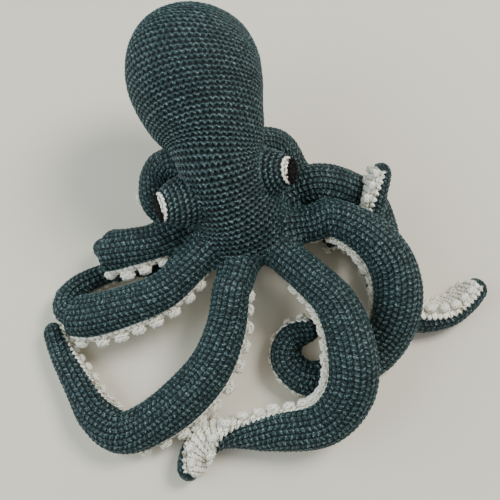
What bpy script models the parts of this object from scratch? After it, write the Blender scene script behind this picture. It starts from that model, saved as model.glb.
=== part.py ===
"""Crocheted octopus soft toy, resting on a flat surface with its head leaning back.

The toy is a stuffed head and mantle with eight stuffed arms. Each arm is a crocheted
cover, a pale underside strip that carries the suckers, and a core of stuffing. The arms
and the neck bend, so each is cut across at its bends, and every moving length hangs from
an empty on its hinge. Units are metres, +Z is up and the toy looks towards -Y.
"""

from math import cos, pi, radians, sin, sqrt

import bmesh
import bpy
from mathutils import Matrix, Vector

MM = 0.001

# where the layout's own zero lies in the finished frame
LAYOUT_SHIFT = Vector((-12.65, 9.1, 0.0)) * MM

# crochet and stuffing, and the cuts where the toy bends
FABRIC = 3.0 * MM
STRIP = 6.0 * MM
SEAM_GAP = 0.8 * MM
STUFFING_GAP = 0.8 * MM
HINGE_GAP = 7.0 * MM
WIDEST_GAP = 15.0 * MM
LIFT_PIVOT = 8.0 * MM

# arms: full width at the root, at the widest place and at the tip
ROOT_WIDTH = 26.0 * MM
FULL_WIDTH = 36.0 * MM
TIP_WIDTH = 15.0 * MM
WIDEST_AT = 0.38
TAPER_POWER = 1.15
TIP_FLATNESS = 0.82
TIP_ROUNDING = 9.0 * MM
TIP_END = 0.45

# a tight fold narrows an arm to this share of the fold's own width
PINCH = 0.84
PINCH_OVER = 8.0 * MM
FRAME_STEP = 4.0 * MM

# an arm's section: the cover's edge in degrees from the top, then strip and core
COVER_EDGE = 115.0
COVER_OUTER = [COVER_EDGE * k / 3 for k in range(-3, 4)]
COVER_INNER = [COVER_EDGE * k / 2 for k in range(2, -3, -1)]
STRIP_SPREAD = (0.86, 0.74)
CORE_FOOT = 0.56
CORE_LIFT = 1.6 * MM
ARM_STATIONS = 15

# hub, where the arms meet the head
HUB = Vector((-5.0, 13.0, 0.0)) * MM
HUB_RADIUS = 42.0 * MM
ROOT_HEIGHT = 52.0 * MM
ROOT_GAP = 9.0 * MM

# head and mantle: centre of each round and its radius, from the hub to the crown
SPINE = [
    ((-5, 13, 40), 42),
    ((-8, 17, 62), 40.5),
    ((-14, 27, 82), 35.5),
    ((-20, 41, 96), 32.5),
    ((-25, 58, 103), 36),
    ((-33, 80, 106), 44.5),
    ((-40, 103, 107), 49),
    ((-43, 124, 106), 45.5),
    ((-44, 141, 105), 32),
    ((-44, 151, 104), 8),
]
# where the neck bends, counted in points of the spine, and which way the toy looks
NECK = 3.6
HEAD_TURN = 17.0
ROUND_SIDES = 20
NECK_GAP = 9.0 * MM
CROWN_GAP = 1.5 * MM
NECK_PIVOT = 5.0 * MM

# eyes: the middle of each disc and the way it faces
EYES = {
    "left": ((-61, 10, 88), (-0.87, -0.35, 0.34)),
    "right": ((27, 34, 96), (0.78, -0.13, 0.61)),
}
# profiles from the back to the front: distance out along the eye's axis, then radius
EYE_SIDES = 16
EYE_MOUND = [(-30, 19.5), (-12, 18), (-3, 14.5), (0, 12.2)]
EYE_WHITE = [(0.4, 11.4), (2.2, 11.0)]
EYE_PUPIL = [(2.6, 8.6), (4.2, 7.9)]
PUPIL_SHIFT = 1.8 * MM

# Each arm: "root" is its direction from the hub and its roll there, in degrees. "route"
# lists points of its centre line in millimetres, each with the roll of the underside,
# positive towards the arm's left. "bend" is the share of the length at which the tip
# hinges, and "turns" says how the base and the tip move.
ARMS = {
    "arm_1_front": {
        "root": (-98, 5),
        "route": [
            (-14, -43, 53, 10),
            (-18, -69, 43, 20),
            (-31, -98, 32, 25),
            (-59, -125, 24, 22),
            (-91, -140, 18, 5),
            (-113, -129, 17, -20),
            (-128, -108, 15, -35),
            (-145, -81, 14, -35),
            (-156, -59, 13, -30),
        ],
        "bend": 0.58,
        "turns": ("lift", "lift"),
    },
    "arm_2_front_right": {
        "root": (-42, 0),
        "route": [
            (44, -33, 57, 0),
            (62, -54, 59, -5),
            (72, -85, 55, -10),
            (71, -114, 43, -20),
            (52, -135, 29, -35),
            (15, -140, 18, -50),
            (-21, -141, 14, -80),
            (-40, -152, 12, -140),
            (-46, -169, 12, -165),
        ],
        "bend": 0.6,
        "turns": ("lift", "lift"),
    },
    "arm_3_right": {
        "root": (-3, 0),
        "route": [
            (64, 11, 61, 0),
            (88, -6, 68, 0),
            (105, -26, 56, 0),
            (109, -50, 45, 0),
            (102, -73, 28, 0),
            (84, -90, 15, 0),
            (62, -99, 14, 5),
            (42, -99, 15, 15),
            (30, -87, 17, 35),
            (33, -73, 19, 50),
            (51, -64, 22, 60),
        ],
        "bend": 0.7,
        "turns": ("swing", "swing"),
    },
    "arm_4_back_right": {
        "root": (34, 0),
        "route": [
            (52, 46, 60, 0),
            (70, 46, 52, 0),
            (93, 40, 24, 0),
            (103, 21, 12, 0),
            (107, -6, 12, 0),
            (111, -32, 12, 10),
            (124, -50, 12, 50),
            (152, -49, 12, 110),
            (170, -38, 13, 135),
            (183, -24, 16, 140),
        ],
        "bend": 0.68,
        "turns": ("swing", "lift"),
    },
    "arm_5_back": {
        "root": (84, 0),
        "route": [
            (6, 76, 52, 0),
            (22, 80, 38, 0),
            (34, 65, 20, 0),
            (46, 48, 13, 0),
            (57, 28, 13, 0),
            (68, 11, 18, 5),
            (79, 0, 28, 10),
            (92, 12, 40, 45),
            (98, 31, 58, 80),
            (101, 48, 66, 105),
        ],
        "bend": 0.7,
        "turns": ("swing", "swing"),
    },
    "arm_6_back_left": {
        "root": (132, 0),
        "route": [
            (-54, 61, 52, 0),
            (-68, 59, 41, 0),
            (-73, 44, 26, 0),
            (-61, 34, 14, 0),
            (-35, 33, 13, 0),
            (-8, 36, 13, 0),
            (14, 33, 13, 0),
        ],
        "bend": 0.5,
        "turns": ("swing", "swing"),
    },
    "arm_7_left": {
        "root": (186, 10),
        "route": [
            (-70, -3, 50, 28),
            (-91, -6, 43, 32),
            (-108, -2, 34, 20),
            (-114, 8, 25, 0),
            (-100, 14, 13, 0),
            (-74, 7, 13, 0),
            (-46, 3, 13, 0),
            (-20, 4, 13, 0),
        ],
        "bend": 0.6,
        "turns": ("swing", "swing"),
    },
    "arm_8_front_left": {
        "root": (222, 10),
        "route": [
            (-64, -41, 47, 25),
            (-95, -52, 37, 35),
            (-123, -54, 28, 30),
            (-141, -45, 19, 10),
            (-134, -32, 12, 0),
            (-114, -26, 12, 0),
            (-91, -23, 12, 0),
            (-66, -22, 12, 0),
            (-42, -20, 12, 0),
        ],
        "bend": 0.6,
        "turns": ("swing", "swing"),
    },
}

TEAL = (0.045, 0.095, 0.105)
CREAM = (0.78, 0.75, 0.66)
BLACK = (0.012, 0.010, 0.010)
FIBREFILL = (0.85, 0.85, 0.83)


def clear_scene():
    for obj in list(bpy.data.objects):
        bpy.data.objects.remove(obj, do_unlink=True)


def material(name, colour, roughness):
    mat = bpy.data.materials.new(name)
    mat.use_nodes = True
    shader = mat.node_tree.nodes["Principled BSDF"]
    shader.inputs["Base Color"].default_value = (*colour, 1.0)
    shader.inputs["Roughness"].default_value = roughness
    shader.inputs["Metallic"].default_value = 0.0
    return mat


def hinge(name, place, parent=None):
    """An empty on a hinge's axis; the pieces that turn with it are its children."""
    empty = bpy.data.objects.new(name, None)
    empty.empty_display_size = 0.01
    empty["world_place"] = place
    above = Vector(parent["world_place"]) if parent else Vector()
    empty.location = place - above
    empty.parent = parent
    bpy.context.scene.collection.objects.link(empty)
    return empty


def solid(name, rings, mat, parent=None, closed_loop=False):
    """A body lofted through rings of points given in world coordinates."""
    above = Vector(parent["world_place"]) if parent else Vector()
    bm = bmesh.new()
    rows = [[bm.verts.new(p - above) for p in ring] for ring in rings]
    pairs = list(zip(rows, rows[1:]))
    if closed_loop:
        pairs.append((rows[-1], rows[0]))
    else:
        bm.faces.new(list(reversed(rows[0])))
        bm.faces.new(rows[-1])
    for one, other in pairs:
        count = len(one)
        for k in range(count):
            bm.faces.new((one[k], one[(k + 1) % count], other[(k + 1) % count], other[k]))
    bmesh.ops.recalc_face_normals(bm, faces=bm.faces)
    mesh = bpy.data.meshes.new(name)
    bm.to_mesh(mesh)
    bm.free()
    mesh.shade_smooth()
    mesh.set_sharp_from_angle(angle=radians(40))
    mesh.materials.append(mat)
    obj = bpy.data.objects.new(name, mesh)
    obj.parent = parent
    bpy.context.scene.collection.objects.link(obj)
    return obj


def spline(points, steps=16):
    """Points along a smooth curve through the given vectors, of any dimension."""
    ends = [points[0] * 2 - points[1]] + points + [points[-1] * 2 - points[-2]]
    out = []
    for a, b, c, d in zip(ends, ends[1:], ends[2:], ends[3:]):
        for k in range(steps):
            t = k / steps
            out.append(
                b
                + (c - a) * (0.5 * t)
                + (a * 2 - b * 5 + c * 4 - d) * (0.5 * t * t)
                + (b * 3 - a - c * 3 + d) * (0.5 * t**3)
            )
    out.append(points[-1])
    return out


class Route:
    """A centre line, read by distance along it."""

    def __init__(self, points):
        self.points = spline(points)
        self.reach = [0.0]
        for one, other in zip(self.points, self.points[1:]):
            self.reach.append(self.reach[-1] + (other.xyz - one.xyz).length)
        self.length = self.reach[-1]

    def at(self, distance):
        k = 1
        while k < len(self.points) - 1 and self.reach[k] < distance:
            k += 1
        span = self.reach[k] - self.reach[k - 1]
        share = (distance - self.reach[k - 1]) / span
        return self.points[k - 1].lerp(self.points[k], share)

    def bend_radius(self, distance):
        """How tightly the centre line turns, over a short stretch about the distance."""
        before, here, after = (self.at(distance + d).xyz for d in (-PINCH_OVER, 0, PINCH_OVER))
        turn = (here - before).angle(after - here, 0.0)
        return PINCH_OVER / max(turn, 0.001)

    def frame(self, distance):
        """Centre, direction, sideways and back vectors of the section there."""
        step = FRAME_STEP
        here = self.at(distance)
        along = (self.at(distance + step).xyz - self.at(distance - step).xyz).normalized()
        down = Vector((0, 0, -1))
        belly = (down - along * down.dot(along)).normalized()
        belly = Matrix.Rotation(radians(here.w), 3, along) @ belly
        back = -belly
        return here.xyz, along, along.cross(back), back


def arm_route(arm):
    azimuth, roll = arm["root"]
    out = Vector((cos(radians(azimuth)), sin(radians(azimuth)), 0)) * (HUB_RADIUS + ROOT_GAP)
    start = HUB + out + Vector((0, 0, ROOT_HEIGHT))
    points = [Vector((*start, roll))]
    points += [Vector((x * MM, y * MM, z * MM, w)) for x, y, z, w in arm["route"]]
    return Route(points)


def arm_width(route, distance):
    """Full width: a swell from the root, then a taper and a rounded end."""
    share = distance / route.length
    if share < WIDEST_AT:
        width = ROOT_WIDTH + (FULL_WIDTH - ROOT_WIDTH) * sin(pi / 2 * share / WIDEST_AT) ** 2
    else:
        taper = ((share - WIDEST_AT) / (1 - WIDEST_AT)) ** TAPER_POWER
        width = FULL_WIDTH - (FULL_WIDTH - TIP_WIDTH) * taper
    left = route.length - distance
    if left < TIP_ROUNDING:
        width *= TIP_END + (1 - TIP_END) * sqrt(1 - (1 - left / TIP_ROUNDING) ** 2)
    near = (max(0.0, distance - PINCH_OVER), distance, min(route.length, distance + PINCH_OVER))
    return min(width, PINCH * 2 * min(route.bend_radius(d) for d in near))


def wall_of(width):
    return min(FABRIC, 0.2 * width)


def cover_section(width):
    """The crocheted cover: a round channel, open along the underside."""
    radius = width / 2
    inner = radius - wall_of(width)
    outline = [(radius * sin(radians(a)), radius * cos(radians(a))) for a in COVER_OUTER]
    return outline + [(inner * sin(radians(a)), inner * cos(radians(a))) for a in COVER_INNER]


def strip_section(width):
    """The underside strip and the suckers' depth below it."""
    radius = width / 2
    top = radius * cos(radians(COVER_EDGE)) - SEAM_GAP
    bottom = top - min(STRIP, 0.35 * width)
    wide, narrow = (radius * share for share in STRIP_SPREAD)
    return [(-wide, top), (wide, top), (narrow, bottom), (-narrow, bottom)]


def core_section(width):
    """The stuffing that fills the channel."""
    radius = width / 2
    inner = radius - wall_of(width) - min(STUFFING_GAP, 0.06 * width)
    foot = radius * cos(radians(COVER_EDGE)) + CORE_LIFT
    outline = [(inner * sin(radians(a)), inner * cos(radians(a))) for a in COVER_INNER]
    return outline + [(-CORE_FOOT * inner, foot), (CORE_FOOT * inner, foot)]


def laid(point):
    """The point in the finished frame; nothing reaches below the surface it rests on."""
    placed = point + LAYOUT_SHIFT
    placed.z = max(placed.z, 0.0)
    return placed


def rings_along(route, stations, section):
    rings = []
    for distance in stations:
        centre, _, side, back = route.frame(distance)
        flat = 1 - (1 - TIP_FLATNESS) * distance / route.length
        outline = section(arm_width(route, distance))
        rings.append([laid(centre + side * x + back * y * flat) for x, y in outline])
    return rings


def spread(start, end, count):
    return [start + (end - start) * k / (count - 1) for k in range(count)]


def tip_stations(start, end):
    """Even steps, then two short ones that round the end."""
    even = spread(start, end - TIP_ROUNDING, ARM_STATIONS - 2)
    return even + [end - 0.35 * TIP_ROUNDING, end]


def pivot(route, distance, turn):
    """A swing turns about the middle; a lift turns about a line nearer the top."""
    raised = LIFT_PIVOT if turn == "lift" else 0.0
    return route.at(distance).xyz + Vector((0, 0, raised)) + LAYOUT_SHIFT


def bend_gap(route, distance):
    """The cut at a bend, wide enough to stay open on the inside of the bend."""
    shut = 0.5 * arm_width(route, distance) / route.bend_radius(distance)
    return min(WIDEST_GAP, HINGE_GAP / max(1 - shut, 0.2))


def add_arm(name, arm, mats):
    route = arm_route(arm)
    bend = arm["bend"] * route.length
    base_turn, tip_turn = arm["turns"]
    base_hinge = hinge(f"hinge_{name}_base", pivot(route, 0.0, base_turn))
    tip_hinge = hinge(f"hinge_{name}_tip", pivot(route, bend, tip_turn), base_hinge)
    half = bend_gap(route, bend) / 2
    lengths = {
        "base": (base_hinge, spread(0.0, bend - half, ARM_STATIONS)),
        "tip": (tip_hinge, tip_stations(bend + half, route.length)),
    }
    for part, (parent, stations) in lengths.items():
        for piece, section, mat in (
            ("cover", cover_section, mats["teal"]),
            ("underside", strip_section, mats["cream"]),
            ("stuffing", core_section, mats["stuffing"]),
        ):
            rings = rings_along(route, stations, section)
            solid(f"{name}_{piece}_{part}", rings, mat, parent)


def spine_curve():
    return spline([Vector((*(Vector(p) * MM), r * MM)) for p, r in SPINE])


def spine_ring(curve, k, inset, lift=0.0):
    last = len(curve) - 1
    along = (curve[min(k + 1, last)].xyz - curve[max(k - 1, 0)].xyz).normalized()
    side = Vector((cos(radians(HEAD_TURN)), sin(radians(HEAD_TURN)), 0))
    side = (side - along * side.dot(along)).normalized()
    centre = curve[k].xyz + along * lift + LAYOUT_SHIFT
    return round_ring(centre, side, along.cross(side), curve[k].w - inset, ROUND_SIDES)


def round_ring(centre, side, other, radius, sides):
    turns = [2 * pi * n / sides for n in range(sides)]
    return [centre + (side * cos(a) + other * sin(a)) * radius for a in turns]


def turned(centre, axis, profile, sides):
    """Rings about an axis; the profile gives how far out along it, and the radius."""
    side = axis.cross(Vector((0, 0, 1)) if abs(axis.z) < 0.9 else Vector((0, 1, 0)))
    side.normalize()
    other = axis.cross(side)
    return [round_ring(centre + axis * out, side, other, r, sides) for out, r in profile]


def shell(name, curve, steps, mat, parent, closed_top):
    """A crocheted cover: open at both ends, or closed over the crown."""
    outer = [spine_ring(curve, k, 0.0) for k in steps]
    inner_steps = steps[:-1] if closed_top else steps
    inner = [spine_ring(curve, k, FABRIC) for k in reversed(inner_steps)]
    solid(name, inner + outer, mat, parent, closed_loop=not closed_top)


def add_head(mats, neck_hinge):
    """Head below the neck, mantle above it: each a cover round its own stuffing."""
    curve = spine_curve()
    per_point = (len(curve) - 1) / (len(SPINE) - 1)
    neck = round(NECK * per_point)
    reach = (curve[neck + 1].xyz - curve[neck].xyz).length
    half = max(1, round(NECK_GAP / 2 / reach))
    low = [*range(0, neck - half - 3, 9), neck - half]
    high = [neck + half, *range(neck + half + 7, len(curve) - 1, 10), len(curve) - 1]
    inset = FABRIC + STUFFING_GAP
    shell("head_cover", curve, low, mats["teal"], None, False)
    core = [spine_ring(curve, k, inset) for k in low]
    solid("head_stuffing", core, mats["stuffing"])
    shell("mantle_cover", curve, high, mats["teal"], neck_hinge, True)
    core = [spine_ring(curve, k, inset) for k in high[:-2]]
    core.append(spine_ring(curve, high[-2], inset, -CROWN_GAP))
    solid("mantle_stuffing", core, mats["stuffing"], neck_hinge)
    outside = [spine_ring(curve, k, -SEAM_GAP) for k in low]
    cutter = solid("head_cutter", outside, mats["teal"])
    cutter.hide_render = True
    cutter.display_type = "WIRE"
    return cutter


def add_underside(mats):
    """The pale disc under the hub, where the eight strips meet."""
    curve = spine_curve()
    rings = [
        spine_ring(curve, 0, HUB_RADIUS * share, -drop)
        for drop, share in ((SEAM_GAP, 0.05), (SEAM_GAP + STRIP, 0.12))
    ]
    solid("head_underside", rings, mats["cream"])


def add_eyes(mats, cutter):
    """Two crocheted mounds on the head's sides, each with a white disc and a pupil."""
    for side, (place, facing) in EYES.items():
        centre = Vector(place) * MM + LAYOUT_SHIFT
        axis = Vector(facing).normalized()
        rear = (Vector((0, 0, 1)).cross(axis) * (1 if side == "right" else -1)).normalized()
        for piece, profile, mat, shift in (
            ("mound", EYE_MOUND, "teal", 0.0),
            ("white", EYE_WHITE, "cream", 0.0),
            ("pupil", EYE_PUPIL, "black", PUPIL_SHIFT),
        ):
            scaled = [(out * MM, radius * MM) for out, radius in profile]
            rings = turned(centre + rear * shift, axis, scaled, EYE_SIDES)
            obj = solid(f"eye_{side}_{piece}", rings, mats[mat])
            if piece == "mound":
                cut = obj.modifiers.new("meets_head", "BOOLEAN")
                cut.operation = "DIFFERENCE"
                cut.object = cutter


clear_scene()
materials = {
    "teal": material("teal_yarn", TEAL, 0.85),
    "cream": material("cream_yarn", CREAM, 0.85),
    "black": material("black_yarn", BLACK, 0.8),
    "stuffing": material("fibrefill", FIBREFILL, 0.95),
}
neck_curve = spine_curve()
neck_step = round(NECK * (len(neck_curve) - 1) / (len(SPINE) - 1))
neck_place = neck_curve[neck_step].xyz + Vector((0, 0, NECK_PIVOT)) + LAYOUT_SHIFT
neck_hinge = hinge("hinge_neck", neck_place)
head_cutter = add_head(materials, neck_hinge)
add_underside(materials)
add_eyes(materials, head_cutter)
for arm_name, arm in ARMS.items():
    add_arm(arm_name, arm, materials)
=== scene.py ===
"""Looks for the crocheted octopus: every cover is real stitched relief on a smooth form.

Each arm, the head and the mantle are grids of vertices. A stitch pattern lifts the grid
into rows of crochet, and a smooth union lets the arms and the eye mounds grow out of
the head. Layout numbers are in millimetres, as in the CAD source.
"""

import math

import bpy
import numpy as np
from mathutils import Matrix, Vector


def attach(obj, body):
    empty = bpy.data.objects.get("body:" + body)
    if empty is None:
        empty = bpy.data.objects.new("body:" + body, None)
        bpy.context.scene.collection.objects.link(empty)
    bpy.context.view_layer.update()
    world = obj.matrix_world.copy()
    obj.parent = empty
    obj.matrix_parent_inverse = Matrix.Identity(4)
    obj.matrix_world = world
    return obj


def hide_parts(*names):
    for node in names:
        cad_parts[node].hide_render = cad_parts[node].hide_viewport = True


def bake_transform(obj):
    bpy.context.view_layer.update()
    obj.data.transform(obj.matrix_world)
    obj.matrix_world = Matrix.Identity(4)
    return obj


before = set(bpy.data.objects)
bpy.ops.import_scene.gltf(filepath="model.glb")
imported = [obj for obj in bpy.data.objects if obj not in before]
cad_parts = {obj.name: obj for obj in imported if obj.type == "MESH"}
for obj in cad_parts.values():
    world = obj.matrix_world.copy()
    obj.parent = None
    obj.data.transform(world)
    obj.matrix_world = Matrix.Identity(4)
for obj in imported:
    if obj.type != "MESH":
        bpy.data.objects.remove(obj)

MM = 0.001
SHIFT = np.array([-12.65, 9.1, 0.0])
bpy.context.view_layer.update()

# one stitch: its width, its height in the rows of an arm and in the rounds of the body
STITCH, ROW, ROUND = 4.05, 4.55, 3.3
# vertices across a stitch and up a round
FINE, PER_ROUND = 6, 6
# how far the stitches of a cover stand out
RELIEF = 1.4
# the height of a stitch that lies on the form itself: less sinks in, more stands out
ON_FORM = 0.35
# stitches round the widest part of the mantle
STITCHES_ROUND = 80
# rounds sit closer at the neck, by this share, over this many mm either side
TIGHTER, TIGHTER_AT, TIGHTER_OVER = 0.36, 16.0, 20.0
# the rounds of the mantle lie this much flatter than its lean, from so far past the neck
LEVELLED, LEVELLED_OVER = math.tan(math.radians(10)), 30.0
STEP = STITCH / FINE

# arms: widths, then where each is widest and how its end rounds off
ROOT_WIDTH, FULL_WIDTH, TIP_WIDTH = 27.5, 36.0, 15.5
# arms with blunter ends, by the width of the end
BLUNT = {"arm_2_front_right": 20.0, "arm_3_right": 20.0, "arm_4_back_right": 21.0,
         "arm_5_back": 18.0}
# arms that are slimmer in the run folded out of sight, from this share of their length
SLIM = {"arm_7_left": 0.7, "arm_8_front_left": 0.62}
SLIM_FROM, SLIM_OVER = 0.42, 0.16
WIDEST_AT, TAPER_POWER = 0.38, 1.15
TIP_FLATNESS, TIP_ROUNDING = 0.82, 9.0
# a tight bend pinches an arm to this share of its radius, sought over this many mm
PINCH, PINCH_OVER, WIDEST_BEND = 0.84, 8.0, 60.0
PINCH_FROM, PINCH_RAMP, BEND_WINDOW = 22.0, 14.0, 31
# rows crowd together on the inside of a bend: by this much, up to this much
CROWD, CROWD_MOST, CROWD_WINDOW = 0.65, 1.3, 9
# the direction of an arm is read over this many mm either side
FRAME_STEP = 4.0
# stations first tried along an arm, how far past its end, and rings that round the end
ARM_SAMPLES, PAST_END, END_RINGS = 400, 1.0, 8
# the number given to the row along the middle of the back
BACK_ROW = 40.5
# degrees from the back of an arm to the edge of its cover, and to the level of its strip
EDGE = 106.0
STRIP_TOP = 115.0
# the ring on the head that the roots start from
HUB, HUB_RADIUS, ROOT_HEIGHT, ROOT_GAP = (-5.0, 13.0), 42.0, 52.0, 9.0
# how far a root runs into the head, how far out it shapes the union, and its direction
ROOT_INSIDE, ROOT_OUTSIDE, BALL_STEP, ENTRY_INWARD = 26.0, 62.0, 3.0, 0.6
# half the length of the piece that bends
HALF_BEND = 24.0
# covers are drawn this far inside their form, so that the stitches stand on it
HEAD_INSET, ARM_INSET, STRIP_INSET = 0.5, 0.6, 0.8
# a bend starts and ends this far inside its rings, and is never shorter than this
BEND_GUARD, SHORTEST_BEND = 0.3, 2.0

# head, neck and mantle: x, y, z and radius down the middle, from the belly to the crown
SPINE = [
    (-5, 13, 34, 20),
    (-5, 14, 37, 31),
    (-6, 15, 46, 35),
    (-10, 19, 64, 34),
    (-17, 28, 82, 30.0),
    (-21.5, 41, 96, 29.8),
    (-25, 58, 103, 36),
    (-33, 80, 106, 44.5),
    (-40, 103, 107, 48.6),
    (-43, 124, 106, 45),
    (-44, 138, 105, 34.5),
    (-44, 147, 104.5, 20),
    (-44, 151.5, 104, 3),
]
SPINE_STEPS = 14
SPINE_SAMPLES, SPINE_SMOOTHINGS = 800, 12
# the part of the spine that arms and eyes grow out of, in steps
HEAD_FORM = 7 * SPINE_STEPS
NECK_AT, NECK_HALF = (-17.6, 36, 92), 19.0
HEAD_TURN = 17.0

# eyes: the middle of each, the way it faces and its size
EYES = {
    "left": ((-61, 10, 88), (-0.90, -0.35, 0.28), 0.96),
    "right": ((26, 34, 96), (0.83, -0.13, 0.54), 0.89),
}

# arms: (azimuth and roll of the root), place of the bend as a share of the length, then
# x, y, z and roll in degrees along the middle
ARMS = {
    "arm_1_front": ((-98, 5), 0.58, [
        (-14, -43, 53, 10), (-18, -69, 43, 20), (-31, -98, 32, 25), (-59, -125, 24, 22),
        (-91, -140, 18, 5), (-113, -129, 17, -20), (-128, -108, 15, -35),
        (-145, -81, 14, -35), (-156, -59, 13, -30)]),
    "arm_2_front_right": ((-42, 0), 0.6, [
        (44, -33, 57, 0), (62, -54, 59, -5), (72, -85, 55, -10), (71, -114, 43, -20),
        (52, -135, 29, -35), (15, -140, 18, -50), (-21, -141, 14, -116),
        (-40, -153, 12, -218), (-46, -173, 12, -262)]),
    "arm_3_right": ((-3, 0), 0.7, [
        (64, 11, 61, 0), (88, -6, 68, 0), (105, -26, 56, 0), (109, -50, 45, 0),
        (102, -73, 28, 0), (84, -90, 15, 0), (62, -99, 14, 0), (42, -100, 15, 0),
        (28, -87, 17, 0), (32, -71, 20, 28), (52, -62, 24, 82)]),
    "arm_4_back_right": ((34, 0), 0.68, [
        (52, 43, 57, 0), (70, 42, 49, 0), (93, 38, 24, 0), (103, 21, 12, 0),
        (107, -6, 12, 0), (111, -32, 12, 30), (124, -51, 12, 102), (151, -51, 12, 118),
        (170, -40, 13, 114), (183, -25, 16, 108)]),
    "arm_5_back": ((84, 0), 0.7, [
        (6, 76, 52, 0), (22, 80, 38, 0), (34, 65, 20, 0), (47, 52, 13, 0),
        (60, 34, 13, 0), (73, 16, 18, 5), (82, 4, 28, 20), (91, 14, 42, 65),
        (95, 33, 58, 98), (100, 52, 69, 108)]),
    "arm_6_back_left": ((132, 0), 0.5, [
        (-54, 61, 52, 0), (-68, 59, 41, 0), (-73, 44, 26, 0), (-61, 34, 14, 0),
        (-35, 33, 13, 0), (-8, 36, 13, 0), (14, 33, 13, 0)]),
    "arm_7_left": ((186, 10), 0.6, [
        (-70, -3, 50, 28), (-91, -7, 43, 32), (-109, -6, 34, 20), (-116, 1, 24, 0),
        (-102, 5, 13, 0), (-74, 4, 13, 0), (-46, 3, 13, 0), (-20, 4, 13, 0)]),
    "arm_8_front_left": ((222, 10), 0.6, [
        (-64, -41, 47, 25), (-95, -52, 37, 35), (-123, -56, 28, 30),
        (-142, -48, 20, 10), (-139, -31, 13, 0), (-120, -19, 12, 0),
        (-95, -13, 12, 0), (-68, -15, 12, 0), (-42, -17, 12, 0)]),
}

# suckers along the underside strip, from this far out
SUCKER_PITCH, SUCKER_SIZE, FIRST_SUCKER = 13.5, 5.0, 9.0
SUCKER_SHADE = 0.6
# the cover closes under the last few mm of an arm
TOE = 6.0
# teeth of the seam: least and extra length, and how far they stand out at the tip
TOOTH, TOOTH_MORE, TOOTH_OUT, TOOTH_BACK = 0.5, 2.6, 2.4, 0.5
# they are full from about here on along the arm, and this small before it
TEETH_FROM, TEETH_OVER, TEETH_LEAST = 0.6, 0.15, 0.2
STRIP_RELIEF = 1.7
# outline of the strip from its middle to the seam: share of the radius, then depth in mm
STRIP_SIDE, STRIP_SEAM, STRIP_COLS = 0.74, 0.93, 24
STRIP_OUTLINE = [(0.0, 6.2), (0.45, 6.0), (STRIP_SIDE, 5.0), (0.87, 2.6), (STRIP_SEAM, -0.4)]
# the rim of the cover: its width, and where its edge turns under
RIM, TURN_UNDER = 3.2, 0.965
# how softly forms run into each other, and the sharper crease round the eye mounds
FILLET, CREASE = 10.0, 3.0
# a form that lies inside another sinks by this much, over this depth
SINK, SINK_OVER = 3.2, 5.0
# neighbours further off than this don't count
REACH = 20.0
# stuffing lies this far inside its cover: head and mantle, then arms
FILLING_INSET, CORE_INSET, CORE_LIFT = 5.0, 6.0, 1.5

# yarn: colour stops by height, painted shade lowest and a painted glint highest, then how much
# stitches, strands (tone and painted glints) and broad patches vary
STOPS = (0.10, 0.36, 0.66, 0.97)
HIGHEST = 1.45
STITCH_VARIES, STRAND_TONE_AND_GLINT, STRAND_SHIFT, PATCH_VARIES = 0.18, 2.6, -1.33, 0.16

FLOOR_COLOUR, FLOOR_REACH = (0.765, 0.715, 0.60), 30.0
ROOM_COLOUR, ROOM_STRENGTH = (0.95, 0.97, 1.0), 0.50
CAMERA_TILT, CAMERA_DISTANCE = 18.0, 0.5
CAMERA_TARGET = (-0.01265, 0.0091, 0.02)


# ---------------------------------------------------------------- small helpers

def unit(v):
    return v / np.maximum(np.linalg.norm(v, axis=-1, keepdims=True), 1e-9)


def running(steps):
    """The total so far before each step, and after the last."""
    return np.concatenate([[0.0], np.cumsum(steps)])


def smooth(x):
    x = np.clip(x, 0.0, 1.0)
    return x * x * (3 - 2 * x)


def catmull(points, steps=16):
    pts = np.array(points, float)
    pts = np.vstack([2 * pts[0] - pts[1], pts, 2 * pts[-1] - pts[-2]])
    out = []
    for a, b, c, d in zip(pts, pts[1:], pts[2:], pts[3:]):
        for k in range(steps):
            t = k / steps
            out.append(b + (c - a) * (0.5 * t) + (2 * a - 5 * b + 4 * c - d) * (0.5 * t * t)
                       + (3 * b - a - 3 * c + d) * (0.5 * t ** 3))
    out.append(pts[-2])
    return np.array(out)


def scatter(i, j=0.0, seed=0.0):
    """A repeatable number from 0 to 1 for each pair of whole numbers."""
    x = np.sin(np.asarray(i) * 12.9898 + np.asarray(j) * 78.233 + seed * 37.719) * 43758.5453
    return x - np.floor(x)


def ridge(s, t, a, b, radius, height, pitch):
    """A rounded cord from a to b, in a stitch's own units."""
    ax, ay, bx, by = a[0] * STITCH, a[1] * pitch, b[0] * STITCH, b[1] * pitch
    dx, dy = bx - ax, by - ay
    px, py = s * STITCH - ax, t * pitch - ay
    along = np.clip((px * dx + py * dy) / (dx * dx + dy * dy), 0, 1)
    off = (px - along * dx) ** 2 + (py - along * dy) ** 2
    return height * np.sqrt(np.clip(1 - off / radius ** 2, 0, 1))


# the two legs of a stitch, as (from, to, radius in mm, height)
LEGS_IN_ROUNDS = (
    ((0.08, 0.82), (0.54, 0.42), 0.95, 1.0),
    ((0.54, 0.42), (0.92, 0.72), 0.70, 0.70),
    ((0.54, 0.42), (0.46, 0.12), 0.90, 0.66),
)
LEGS_IN_ROWS = (
    ((0.20, 0.18), (0.48, 0.84), 1.00, 1.0),
    ((0.48, 0.84), (0.96, 0.66), 0.74, 0.66),
    ((0.66, 0.16), (0.78, 0.52), 0.74, 0.60),
)


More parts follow.
